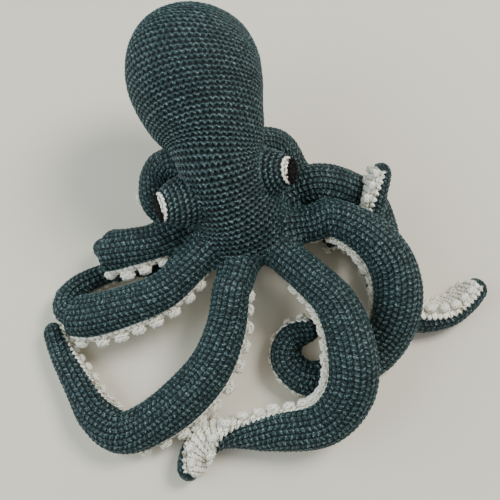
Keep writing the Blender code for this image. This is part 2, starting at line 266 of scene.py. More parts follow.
def stitch_relief(s, t, col, row, legs, pitch, seed):
    """Height of one stitch, 0 to about 1: two legs of yarn over a soft ridge."""
    size = 0.84 + 0.30 * scatter(col, row, seed + 1)
    s = s + 0.16 * (scatter(col, row, seed + 3) - 0.5)
    best = np.zeros(s.shape)
    lean = t + 0.10 * (scatter(col, row, seed + 4) - 0.5)
    for k in (-1.0, 0.0, 1.0):
        for a, b, radius, height in legs:
            best = np.maximum(best, ridge(s + k, lean, a, b, radius, height, pitch))
    barrel = 0.38 * np.sin(np.pi * np.clip(t, 0, 1)) ** 0.5
    # the row grooves and the holes beside stitches sink the relief, and the yarn's colour ramp
    # paints shade in them
    groove = 0.35 + 0.65 * smooth(np.minimum(t, 1 - t) / 0.13)
    beside = np.minimum(np.abs(s + 0.02), np.abs(s - 0.98))
    hole = 0.34 * np.exp(-(beside ** 2 / 0.03 + (t - 0.36) ** 2 / 0.04))
    return 0.70 * best * size * groove + barrel - hole


def crochet(u, v, seed=0.0, legs=LEGS_IN_ROWS, turned=False):
    """Single crochet worked in rows: u counts stitches along a row and v counts rows.

    Gives the height and a shade for each stitch."""
    row = np.floor(v)
    t = v - row
    u = u + 0.5 * scatter(row, 0, seed) + 0.10 * np.sin(u * 0.83 + row * 1.7 + seed)
    col = np.floor(u)
    s = u - col
    if turned:
        s = np.where(np.mod(row, 2) > 0.5, 1 - s, s)
    return stitch_relief(s, t, col, row, legs, ROW, seed), scatter(col, row, seed + 2)


def closed_faces(rows, cols, start=0, turned=False):
    """Faces of a tube of rows by cols vertices, closed at both ends."""
    index = np.arange(rows * cols).reshape(rows, cols) + start
    right = np.roll(index, -1, axis=1)
    if turned:
        quads = np.stack([index[:-1], index[1:], right[1:], right[:-1]], -1)
        ends = [index[0].tolist(), index[-1][::-1].tolist()]
    else:
        quads = np.stack([index[:-1], right[:-1], right[1:], index[1:]], -1)
        ends = [index[0][::-1].tolist(), index[-1].tolist()]
    return quads.reshape(-1, 4).tolist() + ends


def grid_mesh(name, points, marks, mat):
    """A closed mesh from a grid of points in millimetres, each with its mark."""
    return raw_mesh(name, points.reshape(-1, 3), closed_faces(*points.shape[:2]),
                    marks.reshape(-1, 4), mat)


def marks_of(height, shade):
    """The mark of each vertex: how high it stands, which the yarn turns into painted shade and
    painted glint, and the tone of its stitch.
    """
    return np.stack([np.clip(height, 0, 1), shade, np.zeros_like(shade),
                     np.ones_like(shade)], -1)


def raw_mesh(name, points, faces, marks, mat):
    mesh = bpy.data.meshes.new(name)
    mesh.from_pydata(points * MM, [], faces)
    mesh.shade_smooth()
    # red carries the height, from which the yarn paints shade and glint; green carries the stitch
    # tone
    stitch = mesh.attributes.new("stitch", "FLOAT_COLOR", "POINT")
    stitch.data.foreach_set("color", marks.astype(np.float32).ravel())
    mesh.materials.append(mat)
    obj = bpy.data.objects.new(name, mesh)
    bpy.context.scene.collection.objects.link(obj)
    return obj


def settle(p):
    """Nothing goes below the floor; fabric flattens where it touches."""
    z = p[..., 2]
    p[..., 2] = np.where(z < 2.0, 2.0 * np.exp(np.clip((z - 2.0) / 2.0, -6, 0)), z)
    return p


# ---------------------------------------------------------------- materials

def node(tree, kind, **values):
    made = tree.nodes.new(kind)
    for key, value in values.items():
        setattr(made, key, value)
    return made


def add_share(tree, level, value, share, offset):
    """Adds value * share + offset to a level, and returns the new level."""
    part = node(tree, "ShaderNodeMath", operation="MULTIPLY_ADD")
    tree.links.new(value, part.inputs[0])
    part.inputs[1].default_value = share
    part.inputs[2].default_value = offset
    total = node(tree, "ShaderNodeMath", operation="ADD")
    tree.links.new(level, total.inputs[0])
    tree.links.new(part.outputs[0], total.inputs[1])
    return total.outputs[0]


def yarn(name, painted_groove_shade, mid, light, painted_glint, rough, sheen, fibre, strength, tint=(1, 1, 1),
         gloss=0.42):
    """Plied yarn: painted shade between stitches, painted glint on top, each stitch varied, fine
    fibres.
    """
    mat = bpy.data.materials.new(name)
    mat.use_nodes = True
    tree = mat.node_tree
    link = tree.links.new
    shader = tree.nodes["Principled BSDF"]
    shader.inputs["Sheen Weight"].default_value = sheen
    shader.inputs["Sheen Roughness"].default_value = 0.28
    shader.inputs["Sheen Tint"].default_value = (*tint, 1)
    shader.inputs["Specular IOR Level"].default_value = gloss
    where = node(tree, "ShaderNodeAttribute", attribute_name="stitch")
    parts = node(tree, "ShaderNodeSeparateColor")
    link(where.outputs["Color"], parts.inputs[0])
    # the colour ramp paints shade low between the stitches, and painted light and a painted glint
    # on their tops
    ramp = node(tree, "ShaderNodeValToRGB")
    stops = ramp.color_ramp.elements
    stops[0].color, stops[0].position = (*painted_groove_shade, 1), STOPS[0]
    stops[1].color, stops[1].position = (*painted_glint, 1), STOPS[3]
    stops.new(STOPS[1]).color = (*mid, 1)
    stops.new(STOPS[2]).color = (*light, 1)
    coords = node(tree, "ShaderNodeTexCoord")
    # plies: short slanting strands that follow the stitches
    plies = node(tree, "ShaderNodeTexNoise")
    plies.inputs["Scale"].default_value = fibre
    plies.inputs["Detail"].default_value = 3.0
    plies.inputs["Roughness"].default_value = 0.6
    link(coords.outputs["Object"], plies.inputs["Vector"])
    broad = node(tree, "ShaderNodeTexNoise")
    broad.inputs["Scale"].default_value = 26.0
    broad.inputs["Detail"].default_value = 2.0
    link(coords.outputs["Object"], broad.inputs["Vector"])
    # level = height + small changes from stitch to stitch and from strand to strand; the strand
    # noise also scatters painted glints
    with_stitch = add_share(tree, parts.outputs[0], parts.outputs[1], STITCH_VARIES,
                            -STITCH_VARIES / 2)
    with_strand = add_share(tree, with_stitch, plies.outputs[0], STRAND_TONE_AND_GLINT, STRAND_SHIFT)
    level = add_share(tree, with_strand, broad.outputs[0], PATCH_VARIES, -PATCH_VARIES / 2)
    spread = node(tree, "ShaderNodeMapRange")
    spread.inputs["From Max"].default_value = HIGHEST
    link(level, spread.inputs["Value"])
    link(spread.outputs[0], ramp.inputs[0])
    link(ramp.outputs[0], shader.inputs["Base Color"])
    ruff = node(tree, "ShaderNodeMapRange")
    ruff.inputs["To Min"].default_value = min(1.0, rough + 0.12)
    ruff.inputs["To Max"].default_value = rough - 0.12
    link(with_strand, ruff.inputs["Value"])
    link(ruff.outputs[0], shader.inputs["Roughness"])
    bump = node(tree, "ShaderNodeBump")
    bump.inputs["Strength"].default_value = strength
    bump.inputs["Distance"].default_value = 0.0005
    link(plies.outputs[0], bump.inputs["Height"])
    link(bump.outputs[0], shader.inputs["Normal"])
    return mat


def fibrefill():
    mat = bpy.data.materials.new("fibrefill_visual")
    mat.use_nodes = True
    tree = mat.node_tree
    link = tree.links.new
    shader = tree.nodes["Principled BSDF"]
    shader.inputs["Roughness"].default_value = 0.95
    shader.inputs["Sheen Weight"].default_value = 0.4
    coords = node(tree, "ShaderNodeTexCoord")
    wisps = node(tree, "ShaderNodeTexNoise")
    wisps.inputs["Scale"].default_value = 160.0
    wisps.inputs["Detail"].default_value = 8.0
    wisps.inputs["Distortion"].default_value = 1.2
    link(coords.outputs["Object"], wisps.inputs["Vector"])
    ramp = node(tree, "ShaderNodeValToRGB")
    ramp.color_ramp.elements[0].color = (0.66, 0.66, 0.64, 1)
    ramp.color_ramp.elements[1].color = (0.90, 0.90, 0.88, 1)
    link(wisps.outputs[0], ramp.inputs[0])
    link(ramp.outputs[0], shader.inputs["Base Color"])
    bump = node(tree, "ShaderNodeBump")
    bump.inputs["Distance"].default_value = 0.0012
    link(wisps.outputs[0], bump.inputs["Height"])
    link(bump.outputs[0], shader.inputs["Normal"])
    return mat


# each yarn's colours: painted shade in the grooves, its own colour, painted light on the stitch
# tops, a painted glint
TEAL = yarn("teal_crochet", (0.0006, 0.0024, 0.0026), (0.0061, 0.0183, 0.0194),
            (0.033, 0.068, 0.0690), (0.25, 0.34, 0.34), 0.55, 0.22, 1150.0, 0.8,
            (0.22, 0.62, 0.74), gloss=0.25)
CREAM = yarn("cream_crochet", (0.22, 0.19, 0.12), (0.86, 0.84, 0.70),
             (1.0, 0.99, 0.91), (1.0, 1.0, 0.97), 0.72, 0.15, 1100.0, 0.6)
BLACK = yarn("black_crochet", (0.0003, 0.0003, 0.0003), (0.0015, 0.0013, 0.0013),
             (0.010, 0.009, 0.009), (0.03, 0.028, 0.028), 0.70, 0.0, 1100.0, 0.6,
             gloss=0.1)
STUFFING = fibrefill()


# ---------------------------------------------------------------- arms and their space

class Arm:
    """Centre line of one arm, its width and its frame, all read by distance along it."""

    def __init__(self, name):
        (azimuth, roll), self.bend_share, route = ARMS[name]
        self.name = name
        a = math.radians(azimuth)
        reach = HUB_RADIUS + ROOT_GAP
        root = (HUB[0] + reach * math.cos(a), HUB[1] + reach * math.sin(a), ROOT_HEIGHT, roll)
        self.points = catmull([root] + route)
        steps = np.linalg.norm(np.diff(self.points[:, :3], axis=0), axis=1)
        self.reach = running(steps)
        self.length = self.reach[-1]
        self.bend = self.bend_share * self.length
        first = unit(self.points[3, :3] - self.points[0, :3])
        inward = np.array([math.cos(a), math.sin(a), 0.0])
        self.entry = unit(first + inward * ENTRY_INWARD)
        self.table = np.linspace(0, self.length, 2 * round(self.length) + 1)
        tight = np.min([self.bend_radius(np.clip(self.table + o, 0, self.length))
                        for o in (-PINCH_OVER, 0, PINCH_OVER)], axis=0)
        tight = np.minimum(tight, WIDEST_BEND)
        window = np.hanning(BEND_WINDOW)[1:-1]
        ends = np.pad(tight, len(window) // 2, mode="edge")
        self.tight = np.convolve(ends, window / window.sum(), "valid")

    def at(self, d):
        d = np.asarray(d, float)
        got = np.stack([np.interp(d, self.reach, self.points[:, k]) for k in range(4)], -1)
        before = np.minimum(d, 0.0)[..., None]
        got[..., :3] += before * self.entry
        after = np.maximum(d - self.length, 0.0)[..., None]
        got[..., :3] += after * unit(self.points[-1, :3] - self.points[-2, :3])
        return got

    def bend_radius(self, d):
        before, here, after = (self.at(d + o)[..., :3] for o in (-PINCH_OVER, 0, PINCH_OVER))
        cosine = np.sum(unit(here - before) * unit(after - here), -1)
        return PINCH_OVER / np.maximum(np.arccos(np.clip(cosine, -1, 1)), 0.001)

    def width(self, d):
        d = np.clip(np.asarray(d, float), 0, self.length)
        share = d / self.length
        swell = ROOT_WIDTH + (FULL_WIDTH - ROOT_WIDTH) * np.sin(
            np.pi / 2 * np.clip(share / WIDEST_AT, 0, 1)) ** 2
        taper = np.clip((share - WIDEST_AT) / (1 - WIDEST_AT), 0, 1) ** TAPER_POWER
        end = BLUNT.get(self.name, TIP_WIDTH)
        width = np.where(share < WIDEST_AT, swell, FULL_WIDTH - (FULL_WIDTH - end) * taper)
        if self.name in SLIM:
            width = width * (1 - (1 - SLIM[self.name]) * smooth((share - SLIM_FROM) / SLIM_OVER))
        tight = np.interp(d, self.table, self.tight)
        pinched = np.minimum(width, PINCH * 2 * tight)
        return width + (pinched - width) * smooth((d - PINCH_FROM) / PINCH_RAMP)

    def frame(self, d):
        here = self.at(d)
        ahead, behind = self.at(np.add(d, FRAME_STEP)), self.at(np.subtract(d, FRAME_STEP))
        along = unit(ahead[..., :3] - behind[..., :3])
        down = np.zeros_like(along)
        down[..., 2] = -1.0
        belly = unit(down - along * np.sum(along * down, -1, keepdims=True))
        roll = np.radians(here[..., 3])[..., None]
        belly = belly * np.cos(roll) + np.cross(along, belly) * np.sin(roll)
        back = -belly
        return here[..., :3], along, np.cross(along, back), back


arms = {name: Arm(name) for name in ARMS}

# union of balls for each form, used to let one grow out of another
spine = catmull(SPINE, SPINE_STEPS)


def balls_of_arm(arm):
    d = np.arange(-ROOT_INSIDE, ROOT_OUTSIDE, BALL_STEP)
    return np.hstack([arm.at(d)[:, :3], (arm.width(d) / 2)[:, None]])


def balls_of_eye(side):
    place, facing, _ = EYES[side]
    axis = unit(np.array(facing, float))
    spots = [(-26, 19.5), (-20, 18.5), (-15, 16.0), (-10.5, 13.0)]
    return np.array([[*(np.array(place) + axis * out), r] for out, r in spots])


forms = {"head": spine[:HEAD_FORM:2]}
forms.update({name: balls_of_arm(arm) for name, arm in arms.items()})
forms.update({f"eye_{side}": balls_of_eye(side) for side in EYES})


def distance(p, balls):
    best = np.full(p.shape[:-1], 1e9)
    for x, y, z, r in balls:
        gap = np.sqrt((p[..., 0] - x) ** 2 + (p[..., 1] - y) ** 2 + (p[..., 2] - z) ** 2) - r
        best = np.minimum(best, gap)
    return best


def smin(a, b, k):
    h = np.clip(0.5 + 0.5 * (b - a) / k, 0, 1)
    return b + (a - b) * h - k * h * (1 - h)


def grow(name, points, normals, most=13.0):
    """Moves a form's points out along their normals to a smooth union with its neighbours.

    Where a point lies inside a neighbour it sinks a little, so that it can't show."""
    flat, dirs = points.reshape(-1, 3), normals.reshape(-1, 3)
    near = np.zeros(len(flat), bool)
    for n, balls in forms.items():
        if n != name:
            room = balls[:, 3].max() + REACH
            near |= np.all((flat > balls[:, :3].min(0) - room)
                           & (flat < balls[:, :3].max(0) + room), axis=1)
    if near.any():
        p, q = flat[near], dirs[near]
        start = distance(p, forms[name])
        height = np.zeros(len(p))
        for _ in range(7):
            here = p + q * height[:, None]
            own = distance(here, forms[name]) - start
            limbs, eyes = np.full(len(p), 1e9), np.full(len(p), 1e9)
            for n, balls in forms.items():
                if n == name:
                    continue
                if n.startswith("eye"):
                    eyes = np.minimum(eyes, distance(here, balls))
                else:
                    limbs = np.minimum(limbs, distance(here, balls))
            joined = smin(own, limbs, CREASE if name.startswith("eye") else FILLET)
            height = np.clip(height - 0.8 * smin(joined, eyes, CREASE), 0, most)
        gap = own - np.minimum(limbs, eyes)
        sunk = SINK * smooth(gap / SINK_OVER)
        flat = flat.copy()
        flat[near] = p + q * (height - sunk)[:, None]
    return flat.reshape(points.shape)


def put(piece, body, slot, *nodes, fill=None):
    """Rides on one body; when body is (first, second, start, end) it is only fixed where it stands.
    """
    if isinstance(body, str):
        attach(piece, body)
    else:
        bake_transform(piece)
    if nodes:
        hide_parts(*nodes)
    return piece


def blend_of(one, other, first_ring, last_ring):
    """Start and end for a bend, between its two end rings and clear of both."""
    c0, c1 = first_ring.mean(0), last_ring.mean(0)
    along = unit(c1 - c0)
    middle = (c0 + c1) / 2
    a = ((first_ring - middle) @ along).max() + BEND_GUARD
    b = ((last_ring - middle) @ along).min() - BEND_GUARD
    if b - a < SHORTEST_BEND:
        a, b = (a + b - SHORTEST_BEND) / 2, (a + b + SHORTEST_BEND) / 2
    return (one, other, middle + along * a, middle + along * b)


# ---------------------------------------------------------------- head, neck and mantle

def build_head():
    length = running(np.linalg.norm(np.diff(spine, axis=0), axis=1))
    fine = np.linspace(0, length[-1], SPINE_SAMPLES)
    at_neck = np.argmin(np.linalg.norm(spine[:, :3] - np.array(NECK_AT), axis=1))
    from_neck = fine - length[at_neck]
    density = (1 + TIGHTER * np.exp(-((from_neck - TIGHTER_AT) / TIGHTER_OVER) ** 2)) / ROUND
    rounds_to = running((density[1:] + density[:-1]) / 2 * np.diff(fine))
    rows_total = round(rounds_to[-1])
    rounds_to *= rows_total / rounds_to[-1]
    level = np.linspace(0, rows_total, rows_total * PER_ROUND + 1)
    stations = np.interp(level, rounds_to, fine)
    c = np.stack([np.interp(stations, length, spine[:, k]) for k in range(4)], -1)
    centre, radius = c[:, :3], c[:, 3]
    ahead = np.vstack([centre[2:], centre[-1:], centre[-1:]])
    behind = np.vstack([centre[:1], centre[:1], centre[:-2]])
    along = unit(ahead - behind)
    for _ in range(SPINE_SMOOTHINGS):
        along[1:-1] = unit(along[:-2] + along[1:-1] * 2 + along[2:])
    turn = math.radians(HEAD_TURN)
    side = np.array([math.cos(turn), math.sin(turn), 0.0])
    side = unit(side - along * (along @ side)[:, None])
    other = np.cross(along, side)
    cols = STITCHES_ROUND * FINE
    theta = np.linspace(0, 2 * np.pi, cols, endpoint=False)
    ring = side[:, None] * np.cos(theta)[None, :, None] + other[:, None] * np.sin(theta)[
        None, :, None]
    points = centre[:, None] + ring * (radius[:, None, None] - HEAD_INSET)
    du = np.gradient(points, axis=0)
    dv = np.roll(points, -1, 1) - np.roll(points, 1, 1)
    normals = unit(np.cross(dv, du))
    normals *= np.sign(np.sum(normals * ring, -1).mean())
    grown = grow("head", points, normals)
    flatter = LEVELLED * smooth((stations - length[at_neck]) / LEVELLED_OVER)
    v = level[:, None] + (flatter * radius * np.gradient(level, stations))[:, None] * np.cos(theta)
    whole = np.clip(np.floor(v - 1e-9), 0, rows_total - 1).astype(int)
    mid_radius = np.interp(np.interp(np.arange(rows_total) + 0.5, level, stations),
                           length, spine[:, 3])
    count = np.maximum(6, np.round(2 * np.pi * mid_radius / STITCH))
    u = theta[None] / (2 * np.pi) * count[whole]
    height, shade = crochet_closed(u, v, count[whole], seed=3.0)
    final = grown + normals * ((height - ON_FORM) * RELIEF)[..., None]
    marks = marks_of(height, shade)
    final = final + SHIFT
    a, b = (int(np.argmin(np.abs(stations - length[at_neck] - x))) for x in (-NECK_HALF, NECK_HALF))
    head = grid_mesh("head_crochet", final[:a + 1], marks[:a + 1], TEAL)
    put(head, "head", "teal", "head_cover", fill=0.9)
    plain = points + SHIFT
    filling("head_filling", plain[8:a + 1:4, ::12], normals[8:a + 1:4, ::12], "head",
            "head_stuffing")
    collar = grid_mesh("neck_crochet", final[a:b + 1], marks[a:b + 1], TEAL)
    put(collar, blend_of("head", "mantle", final[a], final[b]), "teal", fill=0.85)
    mantle = grid_mesh("mantle_crochet", final[b:], marks[b:], TEAL)
    put(mantle, "mantle", "teal", "mantle_cover", fill=0.95)
    filling("mantle_filling", plain[b:-12:4, ::12], normals[b:-12:4, ::12], "mantle",
            "mantle_stuffing")


def filling(name, points, normals, body, replaced, fill=0.8):
    """The stuffing inside a cover, a little smaller than it all round."""
    wisps = 0.8 * np.sin(points[..., 0] * 0.9) * np.cos(points[..., 2] * 0.8 + points[..., 1])
    inner = points - normals * (FILLING_INSET + wisps)[..., None]
    marks = np.ones(inner.shape[:2] + (4,))
    piece = grid_mesh(name, inner, marks, STUFFING)
    put(piece, body, "stuffing", replaced, fill=fill)


def crochet_closed(u, v, count, seed, legs=LEGS_IN_ROUNDS):
    """Single crochet in rounds: each round has a whole number of stitches."""
    row = np.floor(v - 1e-9)
    t = v - row
    whole = np.mod(u + 0.35 * row + 0.5, count)
    w = whole + 0.10 * np.sin(2 * np.pi * np.round(count / 7) * u / count + row * 1.7)
    col = np.mod(np.floor(w), count)
    s = w - np.floor(w)
    return stitch_relief(s, t, col, row, legs, ROUND, seed), scatter(col, row, seed + 2)


# ---------------------------------------------------------------- arms

def closed_tip(arm, d):
    """Shrinks the section round the end of the arm."""
    left = arm.length + PAST_END - np.asarray(d, float)
    share = np.clip(left / TIP_ROUNDING, 0, 1)
    return np.sqrt(np.clip(1 - (1 - share) ** 2, 0.0004, 1))


def build_arm(arm, number):
    name = arm.name
    rough = np.linspace(-ROOT_INSIDE, arm.length + PAST_END, ARM_SAMPLES)
    tight = np.interp(rough, arm.table, arm.tight)
    crowd = 1 + CROWD * np.clip(arm.width(rough) / 2 / tight, 0, CROWD_MOST)
    crowd = np.convolve(np.pad(crowd, CROWD_WINDOW // 2, mode="edge"),
                        np.ones(CROWD_WINDOW) / CROWD_WINDOW, mode="valid")
    mass = running((crowd[1:] + crowd[:-1]) / 2 * np.diff(rough))
    count = round(mass[-1] / STEP)
    d = np.interp(np.linspace(0, mass[-1], count + 1), mass, rough)
    # the last rings sit closer, to round the end
    d[-END_RINGS:] = d[-END_RINGS - 1] + (d[-1] - d[-END_RINGS - 1]) * np.sqrt(
        np.linspace(0.2, 1, END_RINGS))
    centre, _, side, back = arm.frame(d)
    radius = arm.width(d) / 2 * closed_tip(arm, d)
    flat = 1 - (1 - TIP_FLATNESS) * np.clip(d, 0, None) / arm.length

    # cover: an open ring, its rows running along the arm, counted from the middle of its back
    full_arc = math.radians(EDGE) * FULL_WIDTH / 2
    cols = 2 * round(full_arc / ROW * (FINE + 1)) + 1
    share = np.linspace(-1, 1, cols)
    # the teal closes under the very end of the arm, like a toe
    toe = smooth((d - arm.length + TOE) / TOE)
    edge = np.radians(EDGE) + (math.pi - math.radians(EDGE)) * toe
    angle = edge[:, None] * share[None]
    ring = (side[:, None] * np.sin(angle)[..., None]
            + back[:, None] * (np.cos(angle) * flat[:, None])[..., None])
    base_r = np.maximum(radius - ARM_INSET, 0.3)
    points = centre[:, None] + ring * base_r[:, None, None]
    normals = unit(side[:, None] * (np.sin(angle) * flat[:, None])[..., None]
                   + back[:, None] * np.cos(angle)[..., None])
    grown = grow(name, points, normals)
    half_width = np.maximum(arm.width(d) / 2, 2.0)[:, None]
    arc = angle * half_width
    edge_arc = edge[:, None] * half_width
    v = arc / ROW + BACK_ROW
    # stitches keep their size round a bend: each row counts its own length
    steps = np.linalg.norm(np.diff(points, axis=0), axis=2)
    run = np.vstack([np.zeros(cols), np.cumsum(steps, axis=0)])
    run += d[0] - run[0]
    middle_of_row = (np.floor(v) + 0.5 - BACK_ROW) * ROW / half_width / edge[:, None]
    at_col = np.clip((middle_of_row + 1) / 2 * (cols - 1), 0, cols - 1.001)
    left_col = at_col.astype(int)
    rows_index = np.arange(len(d))[:, None]
    part = at_col - left_col
    u = (run[rows_index, left_col] * (1 - part) + run[rows_index, left_col + 1] * part) / STITCH
    height, shade = crochet(u, v, seed=number * 5.0, turned=True)
    # the joining round along each edge stands proud, one bead for each stitch
    rim = smooth(1 - (edge_arc - np.abs(arc)) / RIM)
    bead = 0.55 + 0.55 * np.abs(np.sin(np.pi * (u + 0.3 * np.sign(arc))))
    height = height * (1 - rim) + bead * rim
    fade = closed_tip(arm, d)[:, None]
    lift = (height - ON_FORM) * RELIEF * np.clip(fade * 1.4, 0.25, 1)
    final = grown + normals * lift[..., None]
    # the edge turns under
    turn_in = smooth((np.abs(share) - TURN_UNDER) / (1 - TURN_UNDER))[None, :, None] * (
        1 - toe[:, None, None])
    inward = -ring * (base_r[:, None, None] * 0.06)
    final = settle(final + inward * turn_in + SHIFT)
    marks = marks_of(height, shade)

    cuts = arm_cuts(arm, d)
    rings = [final[c] for c in cuts]
    lengths = slices_of(name, cuts, rings, final[0])
    for part, (first, last), body, nodes in lengths:
        stop = len(d) if last is None else last + 1
        piece = grid_mesh(f"{name}_cover_{part}_crochet", final[first:stop],
                          marks[first:stop], TEAL)
        put(piece, body, "teal", *[f"{name}_cover_{n}" for n in nodes], fill=0.85)
    build_strip(arm, d, radius, flat, lengths, number)
    turn = np.linspace(0, 2 * math.pi, 20, endpoint=False)
    out = unit(side[:, None] * np.sin(turn)[None, :, None]
               + back[:, None] * np.cos(turn)[None, :, None])
    core = settle(centre[:, None] + out * (np.maximum(radius - CORE_INSET, 0.5)[:, None, None])
                  + back[:, None] * CORE_LIFT + SHIFT)
    for part, (first, last), body, nodes in lengths:
        if nodes:
            stop = len(d) - round(14 / STEP) if last is None else last + 1
            piece = grid_mesh(f"{name}_filling_{part}", core[first:stop:5],
                              np.ones(core[first:stop:5].shape[:2] + (4,)), STUFFING)
            put(piece, body, "stuffing", f"{name}_stuffing_{part}", fill=0.8)


def arm_cuts(arm, d):
    """Stations where one piece ends and the next starts."""
    after_root = HALF_BEND
    before, after = arm.bend - HALF_BEND, arm.bend + HALF_BEND
    return [int(np.argmin(np.abs(d - x))) for x in (after_root, before, after)]


def slices_of(name, cuts, rings, inmost):
    """The pieces of an arm: stations, what each follows and which CAD solids it stands for."""
    a, b, c = cuts
    base, tip = f"{name}_base", f"{name}_tip"
    return [
        ("root", (0, a), blend_of("head", base, inmost, rings[0]), ()),
        ("base", (a, b), base, ("base",)),
        ("bend", (b, c), blend_of(base, tip, rings[1], rings[2]), ()),
        ("tip", (c, None), tip, ("tip",)),
    ]


def bobble(centre, out, along, size, spin):
    """One sucker: a small lobed ball of yarn."""
    rounds_up, sides = 12, 18
    polar = np.linspace(0.12, math.pi - 0.05, rounds_up)[:, None]
    around = np.linspace(0, 2 * math.pi, sides, endpoint=False)[None]
    across = np.cross(out, along)
    lobes = 0.84 + 0.30 * np.abs(np.cos(around)) ** 1.5 * np.sin(polar)
    wraps = 0.08 * np.cos(4 * around + 6 * polar + spin) + 0.06 * np.cos(10 * polar + spin)
    r = size * (lobes + wraps)
    x, y = r * np.sin(polar) * np.cos(around), r * np.sin(polar) * np.sin(around)
    z = r * np.cos(polar) * np.ones_like(around) * 0.95
    points = (centre + along * x[..., None] + across * y[..., None] + out * z[..., None])
    # its mark for the colour ramp: painted shade round its base and between its wraps, painted
    # light towards its top
    depth = 0.50 + 2.8 * wraps + 0.25 * (z / size)
    return points, depth


def suckers_of(arm, level, number):
    """Two rows of suckers that get smaller along an arm: how far along, and the bobble."""
    suckers = []
    place, row = FIRST_SUCKER, 0
    while place < arm.length - TOE:
        wide = float(arm.width(place))
        size = SUCKER_SIZE * min(1.0, wide / 33)
        for hand in (-1, 1):
            here = place + hand * 1.2
            c, t, s_, b = arm.frame(np.array([here]))
            w = float(arm.width(here)) / 2 * float(closed_tip(arm, here))
            fl = 1 - (1 - TIP_FLATNESS) * here / arm.length
            jitter = scatter(row, hand, number) - 0.5
            out = unit(-b[0] * 0.7 + s_[0] * hand * 0.7)
            middle = c[0] + s_[0] * hand * (w * 0.80 + 0.5 * jitter) + b[0] * (
                level * w * fl - 4.0 * size / SUCKER_SIZE)
            suckers.append((here, bobble(middle + out * size * 0.35, out, t[0],
                                         size * (1 + 0.12 * jitter), row * 1.7 + hand)))
        place += SUCKER_PITCH * size / SUCKER_SIZE
        row += 1
    return suckers


def build_strip(arm, d, radius, flat, lengths, number):
    """The pale strip under an arm, with its suckers."""
    name = arm.name
    centre, _, side, back = arm.frame(d)
    edge = math.radians(EDGE)
    level = math.cos(math.radians(STRIP_TOP))
    k = np.linspace(0, 1, STRIP_COLS + 1)
    shape = catmull(STRIP_OUTLINE, 12)
    place = np.linspace(0, 1, len(shape))
    wide = np.interp(k, place, shape[:, 0])
    deep = np.interp(k, place, shape[:, 1])
    wide = np.concatenate([-wide[:0:-1], wide])
    deep = np.concatenate([deep[:0:-1], deep])
    toe = smooth((d - arm.length + TOE) / TOE)
    r = np.maximum((radius - STRIP_INSET) * (1 - toe), 0.2)[:, None]
    thin = np.clip(radius / 15, 0.1, 1)[:, None]
    x = wide[None] * r * (math.sin(edge) / STRIP_SEAM)
    low = level * r * flat[:, None] - deep[None] * thin
    y = np.where(deep[None] < 0, math.cos(edge) * r * flat[:, None], low)
    # each stitch of the seam laps over the edge of the teal
    shown = (TEETH_LEAST + (1 - TEETH_LEAST) * smooth(
        (d / arm.length - TEETH_FROM) / TEETH_OVER))[:, None]
    tooth = (TOOTH + TOOTH_MORE * np.abs(np.sin(np.pi * d / STITCH)))[:, None] * np.clip(
        (radius[:, None] - 3) / 5, 0, 1) * shown
    lapped = edge - tooth / np.maximum(radius, 3)[:, None]
    proud = r + (TOOTH_OUT * shown - TOOTH_BACK) * np.clip(r / 6, 0, 1)
    under = edge + 0.05
    x_out = [np.sin(a) * proud for a in (lapped, under)]
    y_out = [np.cos(a) * proud * flat[:, None] for a in (lapped, under)]
    x = np.hstack([-x_out[0], -x_out[1], x, x_out[1], x_out[0]])
    y = np.hstack([*y_out, y, *y_out[::-1]])
    wide = np.concatenate([[-STRIP_SEAM] * 2, wide, [STRIP_SEAM] * 2])
    deep = np.concatenate([deep[[0, 0]], deep, deep[[-1, -1]]])
    arc = running(np.hypot(np.diff(wide) * FULL_WIDTH / 2, np.diff(deep)))
    arc = arc - arc[len(arc) // 2]
    v = d[:, None] / ROW + np.zeros_like(x)
    u = (arc[None] * np.clip(radius / 17, 0.5, 1)[:, None]) / STITCH + 20.0
    height, shade = crochet(u, v, seed=number * 7.0 + 1)
    lean = np.clip(np.abs(wide) - STRIP_SIDE, 0, 1) / 0.2 * np.sign(wide)
    normal = unit(side[:, None] * lean[None, :, None] - back[:, None])
    points = centre[:, None] + side[:, None] * x[..., None] + back[:, None] * y[..., None]
    rise = STRIP_RELIEF * (height - ON_FORM) * np.clip(radius / 10, 0.3, 1)[:, None]
    rise = rise * np.clip((1 - np.abs(wide[None]) / STRIP_SEAM) * 8, 0.15, 1)
    points = points + normal * rise[..., None]
    points = settle(points[:, ::-1] + SHIFT)
    marks = marks_of(height, shade)[:, ::-1]
    suckers = suckers_of(arm, level, number)
    for part, (first, last), body, nodes in lengths:
        stop = len(d) if last is None else last + 1
        low = first if part != "root" else int(np.argmin(np.abs(d + 14)))
        grid, grid_marks = points[low:stop], marks[low:stop]
        near, far = d[first], d[stop - 1]
        mine = [b for at, b in suckers if near <= at < far or (last is None and at >= far)]
        piece = strip_mesh(f"{name}_strip_{part}_crochet", grid, grid_marks, mine)
        put(piece, body, "cream", *[f"{name}_underside_{n}" for n in nodes], fill=0.7)


def strip_mesh(name, grid, grid_marks, suckers):
    faces = closed_faces(*grid.shape[:2])
    all_points, all_marks = [grid.reshape(-1, 3)], [grid_marks.reshape(-1, 4)]
    count = len(all_points[0])
    for ball, depth in suckers:
        faces += closed_faces(*ball.shape[:2], start=count, turned=True)
        all_points.append(settle(ball + SHIFT).reshape(-1, 3))
        all_marks.append(marks_of(depth, np.full_like(depth, SUCKER_SHADE)).reshape(-1, 4))
        count += len(all_points[-1])
    return raw_mesh(name, np.vstack(all_points), faces, np.vstack(all_marks), CREAM)


# ---------------------------------------------------------------- pieces made in rounds

